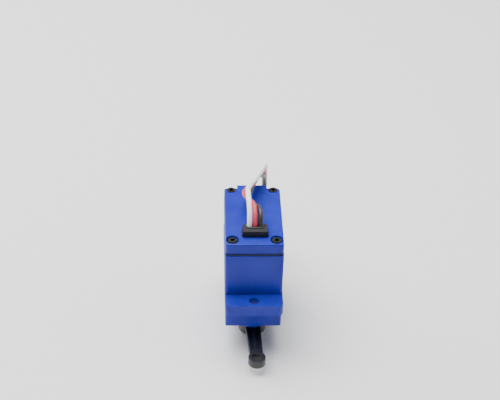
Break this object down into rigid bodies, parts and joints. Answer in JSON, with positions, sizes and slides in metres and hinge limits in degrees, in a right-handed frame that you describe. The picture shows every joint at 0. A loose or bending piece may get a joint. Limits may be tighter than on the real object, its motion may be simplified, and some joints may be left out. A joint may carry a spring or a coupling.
{
  "type": "servo motor",
  "caption": "Sub-micro servo motor with mounting ears, output horn on a splined shaft, rubber cable grommet and a three-wire lead ending in a connector.",
  "frame": {"origin": "middle between the two ear holes, on the underside of the ears", "axes": "-Z along the output shaft, pointing out of the case; +Y along the case, away from the output shaft; +X across the case"},
  "size_m": [0.0127, 0.0691, 0.0341],
  "materials": {
    "case_blue": "satin injection-moulded blue plastic",
    "screw_dark": "black-oxide steel socket screw",
    "rubber_black": "matt black rubber",
    "board_green": "green solder mask",
    "chip_black": "black moulded chip package",
    "tantalum": "yellow moulded capacitor",
    "can_steel": "plated steel",
    "nylon_white": "white nylon",
    "contact_gold": "gold-plated brass",
    "magnet_grey": "sintered magnet",
    "bronze": "sintered bronze",
    "brass_gear": "machined brass",
    "pot_blue": "blue moulded plastic",
    "phenolic": "brown phenolic board",
    "steel_bright": "ground steel",
    "wire_white": "white PVC insulation",
    "wire_red": "red PVC insulation",
    "wire_black": "black PVC insulation",
    "tie_black": "black plastic twist tie",
    "horn_black": "black glass-filled nylon",
    "copper": "enamelled copper wire",
    "lamination": "stacked steel laminations"
  },
  "bodies": {
    "case": {"bottom_cover": "case_blue", "middle_case": "case_blue", "gear_case": "case_blue", "cover_gasket": "rubber_black", "gear_case_gasket": "rubber_black", "case_screw_front_left": "screw_dark", "case_screw_front_right": "screw_dark", "case_screw_rear_left": "screw_dark", "case_screw_rear_right": "screw_dark", "cable_grommet": "rubber_black", "control_board": "board_green", "controller_chip": "chip_black", "driver_chips": "chip_black", "board_capacitor": "tantalum", "motor_can": "can_steel", "motor_endbell": "nylon_white", "motor_terminals": "contact_gold", "motor_magnets": "magnet_grey", "motor_bushing": "bronze", "motor_brushes": "contact_gold", "potentiometer_body": "pot_blue", "pot_track": "phenolic", "pot_terminals": "can_steel", "idler_pin": "steel_bright", "bearing_outer_ring": "steel_bright", "bearing_balls": "steel_bright", "output_seal": "rubber_black", "wire_white": "wire_white", "wire_red": "wire_red", "wire_black": "wire_black", "lead_hank": "wire_black", "lead_tie": "tie_black", "tail_white": "wire_white", "tail_red": "wire_red", "tail_black": "wire_black", "connector_housing": "chip_black", "connector_contacts": "contact_gold"},
    "output": {"output_gear": "brass_gear", "output_spindle": "steel_bright", "pot_wiper": "nylon_white", "bearing_inner_ring": "steel_bright", "servo_horn": "horn_black", "horn_screw": "screw_dark"},
    "gear_three": {"third_gear": "brass_gear"},
    "gear_two": {"second_gear": "brass_gear"},
    "gear_one": {"first_gear": "brass_gear"},
    "rotor": {"motor_shaft": "steel_bright", "motor_pinion": "brass_gear", "armature": "lamination", "armature_windings": "copper", "commutator": "copper"}
  },
  "joints": [
    {"name": "output_turn", "type": "hinge", "parent": "case", "child": "output", "pos_m": [0, -0.0054, 0], "axis": [0, 0, 1], "range_deg": [-60, 60]},
    {"name": "gear_three_spin", "type": "hinge", "parent": "case", "child": "gear_three", "pos_m": [0, -0.00015, 0], "axis": [0, 0, 1], "continuous": true},
    {"name": "gear_two_spin", "type": "hinge", "parent": "case", "child": "gear_two", "pos_m": [0, -0.0054, 0], "axis": [0, 0, 1], "continuous": true},
    {"name": "gear_one_spin", "type": "hinge", "parent": "case", "child": "gear_one", "pos_m": [0, -0.00015, 0], "axis": [0, 0, 1], "continuous": true},
    {"name": "rotor_spin", "type": "hinge", "parent": "case", "child": "rotor", "pos_m": [0, 0.00465, 0], "axis": [0, 0, 1], "continuous": true}
  ],
  "couplings": [
    {"joint": "gear_three_spin", "follows": "output_turn", "ratio": -2.3333},
    {"joint": "gear_two_spin", "follows": "output_turn", "ratio": 8.5556},
    {"joint": "gear_one_spin", "follows": "output_turn", "ratio": -31.37},
    {"joint": "rotor_spin", "follows": "output_turn", "ratio": 135.94}
  ]
}
